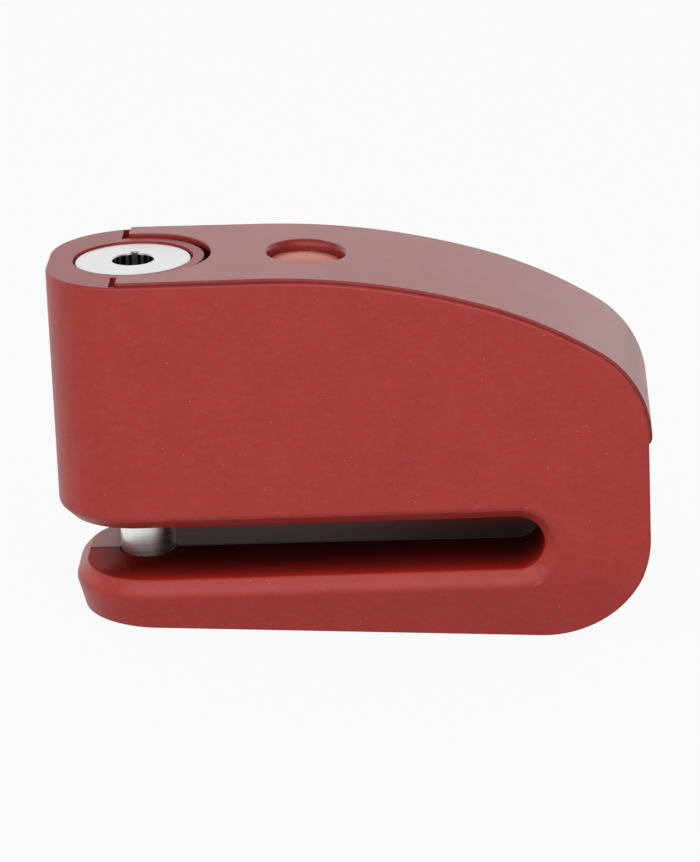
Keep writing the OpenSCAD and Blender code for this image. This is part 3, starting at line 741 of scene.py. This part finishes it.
@dataclass(frozen=True)
class TurnedMetal(Finish):
    """Turned metal, unpainted, with the rings that turning leaves round the pin's axis."""

    def tint(self, nodes: Nodes, place: Socket, tone: Socket) -> Socket:
        """Give the metal's colour."""
        return nodes.mix(tone, self.shade, self.colour)

    def material(self) -> Material:
        """Build the metal.

        Returns:
            The material.
        """
        material, nodes, place = self.start()
        rings = EFFECTS.rings.place(nodes, place)
        marks = EFFECTS.marks.place(nodes, place)
        colour = self.tint(nodes, place, rings["Tone"])
        rough = nodes.plus(nodes.minus(rings["Tone"], MEAN), marks["Gloss"])
        self.close(nodes, colour, rough, rings["Height"], Metallic=1.0)
        return material


@dataclass(frozen=True)
class KeyholeMetal(TurnedMetal):
    """Turned metal with its keyhole round the pin's axis, the wall painted dark as the hole's shade and ribbed
    with painted light.
    """

    hole: float = 3.85 * MM
    hole_top: float = 54.38 * MM
    # deep is the colour of the painted shade in the hole; rib is the paler colour painted as light on the keyway's
    # slots
    deep: Triple = (0.030, 0.032, 0.034)
    rib: Triple = (0.42, 0.43, 0.43)
    rib_count: float = 17.0
    rib_edge: Range = (0.1, 0.7)

    def tint(self, nodes: Nodes, place: Socket, tone: Socket) -> Socket:
        """Give the metal's colour, with the hole's wall painted in shade and lit ribs.

        Args:
            nodes: The material's nodes.
            place: The coordinates in the lock's own frame.
            tone: The tone that turning gives the metal.

        Returns:
            The colour.
        """
        part = nodes.split(place)
        radius = nodes.length(X=part["X"], Y=part["Y"])
        inner = nodes.times(nodes.below(radius, self.hole), nodes.below(part["Z"], self.hole_top))
        turn = nodes.math("ARCTAN2", part["Y"], part["X"])
        ribs = nodes.ramp(nodes.math("SINE", nodes.times(turn, self.rib_count)), *self.rib_edge)
        # painted shade in the hole, striped with paler ribs painted as light on the keyway's slots
        wall = nodes.mix(ribs, self.deep, self.rib)
        return nodes.mix(inner, super().tint(nodes, place, tone), wall)


@dataclass(frozen=True)
class Moulding(Finish):
    """Moulded plastic, rubber or glass with a fine grain."""

    grain_size: float = 0.35 * MM
    handled: bool = True
    through: float = 0.0

    def material(self) -> Material:
        """Build the moulding.

        Returns:
            The material.
        """
        material, nodes, place = self.start()
        grain = EFFECTS.grain.place(nodes, place, Fine=1 / self.grain_size)
        colour = nodes.mix(grain["Tone"], self.shade, self.colour)
        rough = grain["Sheen"]
        if self.handled:
            rough = nodes.plus(rough, EFFECTS.marks.place(nodes, place)["Gloss"])
        self.close(nodes, colour, rough, grain["Height"], Transmission_Weight=self.through)
        return material


FINISHES = (
    SprayedPaint("red_paint", (0.385, 0.0330, 0.0260), (0.310, 0.0245, 0.0190), 0.40, specular=0.3),
    SprayedPaint("slot_paint", (0.385, 0.0200, 0.0140), (0.310, 0.0150, 0.0100), 0.40, specular=0.0,
                 haze_share=0.0, coated=True),
    SprayedPaint("cover_paint", (0.270, 0.0230, 0.0200), (0.205, 0.0165, 0.0140), 0.34, depth=0.012 * MM,
                 specular=0.3),
    TurnedMetal("pin_steel", (0.89, 0.97, 0.93), (0.69, 0.76, 0.72), 0.27, depth=0.006 * MM),
    KeyholeMetal("cap_chrome", (0.56, 0.56, 0.56), (0.47, 0.47, 0.47), 0.30),
    TurnedMetal("cylinder_steel", (0.62, 0.62, 0.62), (0.52, 0.52, 0.53), 0.34),
    TurnedMetal("spring_steel", (0.55, 0.56, 0.58), (0.45, 0.46, 0.48), 0.32),
    TurnedMetal("plug_brass", (0.78, 0.60, 0.30), (0.66, 0.48, 0.22), 0.34),
    Moulding("seal_rubber", (0.022, 0.022, 0.022), (0.014, 0.014, 0.014), 0.62),
    Moulding("button_plastic", (0.50, 0.112, 0.068), (0.44, 0.090, 0.054), 0.40),
    Moulding("black_plastic", (0.028, 0.028, 0.030), (0.020, 0.020, 0.021), 0.48),
    Moulding("board_green", (0.018, 0.120, 0.045), (0.013, 0.090, 0.034), 0.35),
    TurnedMetal("cell_steel", (0.68, 0.68, 0.69), (0.58, 0.58, 0.59), 0.28),
    TurnedMetal("contact_brass", (0.80, 0.68, 0.40), (0.70, 0.58, 0.32), 0.30),
    Moulding("led_lens", (0.60, 0.030, 0.025), (0.55, 0.025, 0.020), 0.12, handled=False, through=0.4),
    Moulding("reed_glass", (0.72, 0.85, 0.76), (0.68, 0.82, 0.72), 0.06, handled=False, through=0.85),
)


def new_mesh(name: str, shape: BMesh) -> Mesh:
    """Turn a bmesh into a mesh.

    Args:
        name: The mesh's name.
        shape: The bmesh. It is freed.

    Returns:
        The mesh.
    """
    mesh = bpy.data.meshes.new(name)
    shape.to_mesh(mesh)
    shape.free()
    return mesh


def new_object(name: str, data: ID) -> Object:
    """Put an object with its data into the scene.

    Args:
        name: The object's name.
        data: Its mesh, light or camera.

    Returns:
        The object.
    """
    thing = bpy.data.objects.new(name, data)
    bpy.context.scene.collection.objects.link(thing)
    return thing


@dataclass(frozen=True)
class Span:
    """The stretch of a piece that lies between two bodies, from a point on its own to a point on another."""

    body: str
    start: Vector
    end: Vector


class Workshop:
    """Makes materials once, and turns finished bmeshes into pieces of the lock."""

    def __init__(self) -> None:
        """Build every finish."""
        self.materials = {finish.name: finish.material() for finish in FINISHES}
        self.slot_of = {part["node"]: part["material_slot"] for part in frame["record"]["subparts"]}
        self.body_of = {node: body for body, nodes in frame["record"]["behaviour"]["bodies"].items()
                        for node in nodes}

    def dress_solids(self) -> None:
        """Give every solid that stays the finish of its slot."""
        for node, thing in frame["nodes"].items():
            thing.data.materials.clear()
            thing.data.materials.append(self.materials[self.slot_of[node]])

    def piece(self, name: str, shape: BMesh, node: str,
              span: Span | None = None) -> Object:
        """Turn a bmesh into a piece that stands for a node.

        Args:
            name: The piece's name.
            shape: Its mesh, in the row frame. It is freed.
            node: The node that it replaces, whose body and finish it takes.
            span: Where the piece reaches to another body, if it does; only whether it is given is read, and such a
                piece is attached to no body.

        Returns:
            The piece.
        """
        mesh = new_mesh(name, shape)
        thing = new_object(name, mesh)
        mesh.materials.append(self.materials[self.slot_of[node]])
        mesh.shade_smooth()
        if span:
            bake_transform(thing)
        else:
            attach(thing, self.body_of[node])
        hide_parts(node)
        LOG.info("%s stands for %s", name, node)
        return thing


class Edge(Enum):
    """Kinds of edge on the shells, each rounded in its own way."""

    HIDDEN = "hidden"
    TANGENT = "tangent"
    RIDGE = "ridge"
    FOLD = "fold"
    FINE = "fine"
    RIM = "rim"
    THROAT = "throat"
    PLAIN = "plain"
    MOUTH = "mouth"
    SOFT = "soft"


@dataclass
class RoundedShell:
    """A node's shell with its shown edges rounded. Places are in millimetres of the lock's own frame."""

    node: str
    name: str
    widths: dict[Edge, float]
    weld: float = 0.004 * MM
    merge: float = 0.075 * MM
    flat: float = math.radians(0.4)
    sharp: float = math.radians(18)
    segments: int = 4
    profile: float = 0.5
    normal_weight: int = 50

    def kind(self, place: Vector) -> Edge:
        """Tell the kind of an edge from its middle."""
        return Edge.PLAIN

    def rounding(self, kind: Edge, place: Vector) -> float:
        """Give the rounding of an edge of a kind with its middle at a place."""
        return self.widths[kind]

    def retopologise(self, shape: BMesh) -> None:
        """Lay no new faces here; a shell whose own faces would hinder the rounding lays new ones in its own
        version.
        """

    def merged(self) -> BMesh:
        """Copy the node's mesh, join its loose faces and clear the lines across its flats.

        Returns:
            The copy.
        """
        shape = bmesh.new()
        shape.from_mesh(frame["nodes"][self.node].data)
        bmesh.ops.remove_doubles(shape, verts=shape.verts, dist=self.weld)
        bmesh.ops.dissolve_limit(shape, angle_limit=self.flat, use_dissolve_boundaries=False,
                                 verts=shape.verts, edges=shape.edges, delimit=set())
        bmesh.ops.dissolve_degenerate(shape, dist=self.merge, edges=shape.edges)
        return shape

    def mark(self, shape: BMesh) -> None:
        """Write the rounding of every edge to its bevel weight, and keep hidden edges sharp.

        Args:
            shape: The shell's mesh.
        """
        layer = shape.edges.layers.float.new("bevel_weight_edge")
        widest = max(self.widths.values())
        for edge in shape.edges:
            middle = LOCK.millimetres((edge.verts[0].co + edge.verts[1].co) / 2)
            kind = self.kind(middle)
            if kind in (Edge.RIDGE, Edge.FOLD):
                edge.smooth = False
            elif edge.calc_face_angle(0) > self.sharp:
                width = self.rounding(kind, middle)
                edge[layer] = width / widest
                edge.smooth = width > 0 or kind is Edge.TANGENT

    def build(self, workshop: Workshop) -> Object:
        """Make the piece.

        Args:
            workshop: Where the piece is finished.

        Returns:
            The piece, with its edges rounded by a modifier.
        """
        shape = self.merged()
        self.retopologise(shape)
        self.mark(shape)
        thing = workshop.piece(self.name, shape, self.node)
        rounding = thing.modifiers.new("rounding", "BEVEL")
        rounding.limit_method = "WEIGHT"
        rounding.width = max(self.widths.values())
        rounding.segments = self.segments
        rounding.profile = self.profile
        rounding.use_clamp_overlap = False
        rounding.loop_slide = False
        rounding.miter_outer = "MITER_SHARP"
        smooth = thing.modifiers.new("smooth", "WEIGHTED_NORMAL")
        smooth.keep_sharp = True
        smooth.weight = self.normal_weight
        return thing


@dataclass
class CastBody(RoundedShell):
    """The U-shaped casting: jaw, slot, nose, rim round the cover, and collar."""

    node: str = "body_casting"
    name: str = "cast_body"
    widths: dict[Edge, float] = field(default_factory=lambda: {
        Edge.HIDDEN: 0.0, Edge.FINE: 0.12 * MM, Edge.RIM: 0.20 * MM, Edge.THROAT: 0.35 * MM,
        Edge.PLAIN: 0.45 * MM, Edge.MOUTH: 0.6 * MM, Edge.SOFT: 1.3 * MM})
    mouth: float = 7.0
    mouth_slack: float = 0.2
    outer_slack: float = 0.15
    throat: float = 4.9
    throat_slack: float = 0.1
    throat_depth: float = 3.2
    slack: float = 0.05
    ridge_half: float = 0.02
    roof_slack: float = 0.1
    rim_share: float = 0.35
    base_slack: float = 0.15
    fold_depth: float = 0.3
    fold_cuts: int = 6
    step: float = 0.09 * MM
    front_end: float = -8.0
    front_top: float = 12.0
    front_corner: Range = (2.2, 3.2)
    side_start: Range = (0.5, 4.6)
    side_depth: float = 4.0
    level_normal: float = 0.9
    lining: str = "slot_paint"

    def kind(self, place: Vector) -> Edge:
        """Tell the kind of an edge.

        Args:
            place: The edge's middle.

        Returns:
            The kind.
        """
        away = FORM.slot_distance(place)
        if away < self.throat and abs(place.y) < self.ridge_half:
            return Edge.RIDGE
        if abs(away - self.mouth) < self.mouth_slack:
            return Edge.MOUTH
        if away < self.throat + self.throat_slack:
            setback = FORM.jaw_setback if place.z < FORM.slot_middle else 0.0
            return Edge.THROAT if FORM.plan_depth(place, setback) < self.throat_depth else Edge.RIM
        if FORM.roof_depth(place) < self.roof_slack:
            return Edge.PLAIN if FORM.plan_depth(place) < self.rim_share else Edge.FINE
        if FORM.base_depth(place) < self.base_slack:
            return Edge.PLAIN
        return Edge.FOLD if self.on_fold(place) else Edge.HIDDEN

    def on_fold(self, place: Vector) -> bool:
        """Tell whether a point lies where the tail's sides start to lean in."""
        level = abs(place.z - FORM.fold) < self.slack
        return level and FORM.plan_depth(place) < self.fold_depth and place.x > FORM.slot_reach

    def ends_nose(self, place: Vector) -> bool:
        """Tell whether a point lies where the nose's curve runs out.

        Args:
            place: The point.

        Returns:
            Whether it lies there, on the nose's front or on the sides behind.
        """
        corner = self.front_corner[0] < abs(place.y) < self.front_corner[1]
        front = corner and place.x < self.front_end and place.z < self.front_top
        side = self.side_start[0] < place.x < self.side_start[1]
        return front or (side and FORM.plan_depth(place) < self.side_depth)

    def rounding(self, kind: Edge, place: Vector) -> float:
        """Give the rounding of an edge: the mouth's grows from its roof round its end to the jaw.

        Args:
            kind: The edge's kind.
            place: The edge's middle.

        Returns:
            The rounding's width in metres.
        """
        if kind is not Edge.MOUTH:
            return self.widths[kind]
        drop = (FORM.slot_middle - place.z) / self.mouth / 2 + 0.5
        share = min(max(drop, 0.0), 1.0)
        return self.widths[Edge.MOUTH] * (1 - share) + self.widths[Edge.SOFT] * share

    def end_bevel(self, shape: BMesh, side: int) -> list[BMFace]:
        """Find the bevel round the slot's end.

        Args:
            shape: The casting's mesh.
            side: The side of the lock, -1 or 1.

        Returns:
            The bevel's faces on that side.
        """
        strip = []
        for face in shape.faces:
            place = LOCK.millimetres(face.calc_center_median())
            away = FORM.slot_distance(place)
            between = self.throat + self.slack < away < self.mouth - self.slack
            behind = place.x > FORM.slot_reach and place.y * side > 0
            if between and behind and abs(face.normal.y) < self.level_normal:
                strip.append(face)
        return strip

    def bevel_rims(self, strip: list[BMFace]) -> list[BMEdge]:
        """Find the edges that a strip of the bevel has at the throat and at the mouth.

        Args:
            strip: The bevel's faces.

        Returns:
            The edges.
        """
        rims = []
        for edge in {edge for face in strip for edge in face.edges}:
            away = [FORM.slot_distance(LOCK.millimetres(vert.co)) for vert in edge.verts]
            outer = min(away) > self.mouth - self.outer_slack
            if outer or max(away) < self.throat + self.slack:
                rims.append(edge)
        return rims

    def retopologise(self, shape: BMesh) -> None:
        """Close the fine steps where the nose ends, and bridge the bevel round the slot's end anew.

        Args:
            shape: The casting's mesh.
        """
        ends = [vert for vert in shape.verts if self.ends_nose(LOCK.millimetres(vert.co))]
        bmesh.ops.remove_doubles(shape, verts=ends, dist=self.step)
        for side in (-1, 1):
            strip = self.end_bevel(shape, side)
            rims = self.bevel_rims(strip)
            bmesh.ops.delete(shape, geom=strip, context="FACES_ONLY")
            spare = [edge for edge in shape.edges if not edge.link_faces and edge not in rims]
            bmesh.ops.delete(shape, geom=spare, context="EDGES")
            bmesh.ops.bridge_loops(shape, edges=rims)
        folds = [edge for edge in shape.edges
                 if all(self.on_fold(LOCK.millimetres(vert.co)) for vert in edge.verts)]
        bmesh.ops.subdivide_edges(shape, edges=folds, cuts=self.fold_cuts)
        bmesh.ops.recalc_face_normals(shape, faces=shape.faces)

    def build(self, workshop: Workshop) -> Object:
        """Make the piece, and give the slot's inside its own finish.

        Args:
            workshop: Where the piece is finished.

        Returns:
            The piece.
        """
        thing = super().build(workshop)
        thing.data.materials.append(workshop.materials[self.lining])
        for face in thing.data.polygons:
            if FORM.slot_distance(LOCK.millimetres(face.center)) < self.throat + self.slack:
                face.material_index = 1
        return thing


@dataclass
class Cover(RoundedShell):
    """The curved cover with its lip on the tail and the button's well."""

    node: str = "top_cover"
    name: str = "cover_shell"
    widths: dict[Edge, float] = field(default_factory=lambda: {
        Edge.HIDDEN: 0.0, Edge.TANGENT: 0.0, Edge.PLAIN: 0.30 * MM})
    button: Vector = field(default_factory=lambda: Vector((31.0, 0.0)))
    well: float = 9.5
    well_depth: float = 2.0
    proud: float = 0.45

    def kind(self, place: Vector) -> Edge:
        """Tell the kind of an edge.

        Args:
            place: The edge's middle.

        Returns:
            The kind.
        """
        depth = FORM.roof_depth(place)
        if (place.xy - self.button).length < self.well and depth < self.well_depth:
            return Edge.TANGENT
        return Edge.PLAIN if depth < -self.proud else Edge.HIDDEN


@dataclass
class SmallShell(RoundedShell):
    """A small piece whose edges are shown between two levels, with rims of their own by the pin's axis."""

    merge: float = 0.01 * MM
    shown: Range = (-math.inf, math.inf)
    rim_reach: float = 0.0

    def kind(self, place: Vector) -> Edge:
        """Tell the kind of an edge.

        Args:
            place: The edge's middle.

        Returns:
            The kind.
        """
        if not self.shown[0] < place.z < self.shown[1]:
            return Edge.HIDDEN
        return Edge.RIM if math.hypot(place.x, place.y) < self.rim_reach else Edge.FINE


@dataclass
class WireSpring:
    """A wound spring of round wire, in the place of its faceted solid, that ends on a moving body."""

    node: str
    name: str
    moved_by: str
    radius: float
    wire: float
    pitch: float
    turns: float
    start: Vector
    lean: float = 0.0
    sides: int = 14
    steps_a_turn: int = 40

    def build(self, workshop: Workshop) -> Object:
        """Wind the spring.

        Args:
            workshop: Where the piece is finished.

        Returns:
            The piece, with its mesh baked into the row frame and attached to no body.
        """
        shape = bmesh.new()
        rise = math.atan2(self.pitch, 2 * math.pi * self.radius)
        turn = Matrix.Rotation(math.pi / 2 + rise, 4, "X")
        ring = bmesh.ops.create_circle(shape, cap_ends=True, radius=self.wire / 2 * MM, segments=self.sides,
                                       matrix=Matrix.Translation((self.radius * MM, 0, 0)) @ turn)
        steps = round(self.turns * self.steps_a_turn)
        climb = Vector((0, 0, self.pitch * self.turns / steps * MM))
        geom = [*ring["verts"], *shape.edges, *shape.faces]
        bmesh.ops.spin(shape, geom=geom, cent=(0, 0, 0), axis=(0, 0, 1), dvec=climb,
                       angle=2 * math.pi * self.turns, steps=steps, use_merge=False, use_duplicate=False)
        bmesh.ops.recalc_face_normals(shape, faces=shape.faces)
        place = LOCK.matrix @ Matrix.Translation(self.start * MM) @ Matrix.Rotation(self.lean, 4, "Y")
        bmesh.ops.transform(shape, matrix=place, verts=shape.verts)
        low = Vector((0, 0, -self.wire / 2)) * MM
        high = Vector((0, 0, self.pitch * self.turns + self.wire / 2)) * MM
        return workshop.piece(self.name, shape, self.node, Span(self.moved_by, place @ low, place @ high))


@dataclass
class PhotoCamera:
    """The camera that took the photograph, in the lock's own frame."""

    place: Vector = field(default_factory=lambda: Vector((70.741, -763.719, 272.941)) * MM)
    yaw: float = math.radians(-2.484)
    pitch: float = math.radians(18.233)
    roll: float = math.radians(2.337)
    focal_pixels: float = 4447.1
    long_side_pixels: float = 862
    sensor: float = 36.0
    clip_start: float = 10 * MM

    def build(self) -> Object:
        """Make the camera and hand it to the scene.

        Returns:
            The camera.
        """
        ahead = Vector((math.sin(self.yaw) * math.cos(self.pitch), math.cos(self.yaw) * math.cos(self.pitch),
                        -math.sin(self.pitch)))
        level = Vector((math.cos(self.yaw), -math.sin(self.yaw), 0))
        down = ahead.cross(level)
        right = math.cos(self.roll) * level + math.sin(self.roll) * down
        below = math.cos(self.roll) * down - math.sin(self.roll) * level
        turn = Matrix((right, -below, -ahead)).transposed().to_4x4()
        data = bpy.data.cameras.new("photo_camera")
        data.sensor_fit = "AUTO"
        data.sensor_width = self.sensor
        data.lens = self.sensor * self.focal_pixels / self.long_side_pixels
        data.clip_start = self.clip_start
        camera = new_object("photo_camera", data)
        camera.matrix_world = LOCK.matrix @ Matrix.Translation(self.place) @ turn
        bpy.context.scene.camera = camera
        return camera


@dataclass
class Studio:
    """White surroundings, a pale floor and a large soft light in front."""

    floor_size: float = 6.0
    floor_drop: float = 0.05 * MM
    floor_grey: float = 0.22
    floor_roughness: float = 0.9
    floor_specular: float = 0.1
    floor_shown: float = 1.02
    floor_share: float = 0.92
    floor_glow: float = 0.04
    floor_mirrored: float = 0.95
    back_light: float = 1.6
    front_light: float = 0.09
    front_to_back: Range = (-0.6, 0.6)
    zenith_light: float = 0.16
    zenith_rise: Range = (0.25, 0.85)
    key_power: float = 25.0
    key_size: float = 2.0
    key_distance: float = 1.1
    key_height: float = math.radians(34)
    key_side: float = math.radians(-10)

    def surroundings(self) -> None:
        """Make the world: bright behind the lock, dimmer in front and overhead."""
        world = bpy.data.worlds.new("studio")
        bpy.context.scene.world = world
        world.use_nodes = True
        nodes = Nodes(world.node_tree)
        part = nodes.split(nodes.add("TexCoord").outputs["Generated"])
        behind = nodes.ramp(part["Y"], *self.front_to_back)
        level = nodes.line(behind, self.back_light - self.front_light, self.front_light)
        high = nodes.ramp(part["Z"], *self.zenith_rise)
        strength = nodes.minus(level, nodes.times(high, nodes.minus(level, self.zenith_light)))
        light = nodes.add("Background", inputs={"Color": WHITE, "Strength": strength})
        end = nodes.add("OutputWorld")
        world.node_tree.links.new(light.outputs["Background"], end.inputs["Surface"])

    def floor_material(self) -> Material:
        """Make the floor's finish: grey to the light, and near white to the camera and in reflections.

        Returns:
            The material.
        """
        material = bpy.data.materials.new("floor")
        material.use_nodes = True
        nodes = Nodes(material.node_tree)
        grey = self.floor_grey
        lit = nodes.add("BsdfPrincipled", inputs={
            "Base Color": (grey, grey, grey, 1), "Roughness": self.floor_roughness,
            "Specular IOR Level": self.floor_specular, "Emission Color": WHITE,
            "Emission Strength": self.floor_glow})
        shown = nodes.add("Emission", inputs={"Color": WHITE, "Strength": self.floor_shown})
        mirrored = nodes.add("Emission", inputs={"Color": WHITE, "Strength": self.floor_mirrored})
        path = nodes.add("LightPath").outputs
        base = nodes.add("MixShader", inputs={
            0: path["Is Glossy Ray"], 1: lit.outputs["BSDF"], 2: mirrored.outputs["Emission"]})
        share = nodes.times(path["Is Camera Ray"], self.floor_share)
        both = nodes.add("MixShader", inputs={
            0: share, 1: base.outputs["Shader"], 2: shown.outputs["Emission"]})
        end = nodes.add("OutputMaterial")
        nodes.tree.links.new(both.outputs["Shader"], end.inputs["Surface"])
        return material

    def floor(self) -> None:
        """Make the pale floor."""
        shape = bmesh.new()
        bmesh.ops.create_grid(shape, x_segments=1, y_segments=1, size=self.floor_size / 2)
        floor = new_object("floor", new_mesh("floor", shape))
        floor.location.z = -self.floor_drop
        floor.data.materials.append(self.floor_material())

    def key(self) -> None:
        """Hang the large soft light in front of the lock."""
        data = bpy.data.lights.new("key", "AREA")
        data.shape = "SQUARE"
        data.size = self.key_size
        data.energy = self.key_power
        aim = Vector((math.sin(self.key_side) * math.cos(self.key_height),
                      -math.cos(self.key_side) * math.cos(self.key_height), math.sin(self.key_height)))
        turn = aim.to_track_quat("Z", "Y").to_matrix().to_4x4()
        light = new_object("key", data)
        light.matrix_world = Matrix.Translation(self.key_distance * aim) @ turn

    def build(self) -> None:
        """Set the studio up."""
        self.surroundings()
        self.floor()
        self.key()
        bpy.context.scene.view_settings.view_transform = "Standard"


def main() -> None:
    """Build the lock's looks around the frame."""
    logging.basicConfig(level=logging.INFO, format="%(name)s: %(message)s")
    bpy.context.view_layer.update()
    PhotoCamera().build()
    Studio().build()
    workshop = Workshop()
    workshop.dress_solids()
    pieces = (
        CastBody(),
        Cover(),
        SmallShell("cylinder_cap", "keyhole_cap",
                   {Edge.HIDDEN: 0.0, Edge.FINE: 0.12 * MM, Edge.RIM: 0.24 * MM},
                   shown=(54.1, math.inf), rim_reach=6.0),
        SmallShell("locking_pin", "steel_pin", {Edge.HIDDEN: 0.0, Edge.FINE: 0.25 * MM},
                   shown=(-math.inf, 0.0)),
        SmallShell("alarm_button", "domed_button", {Edge.HIDDEN: 0.0, Edge.FINE: 0.35 * MM},
                   shown=(51.5, math.inf)),
        WireSpring("plunger_spring", "wound_plunger_spring", "plunger", radius=8.01, wire=1.4, pitch=2.62,
                   turns=5, start=Vector((0, 0, 15.2))),
        WireSpring("button_spring", "wound_button_spring", "button", radius=6.45, wire=0.8, pitch=1.4,
                   turns=2.5, start=Vector((30.48, 0, 46.35)), lean=math.radians(3.595)),
    )
    for piece in pieces:
        piece.build(workshop)


if __name__ == "__main__":
    main()
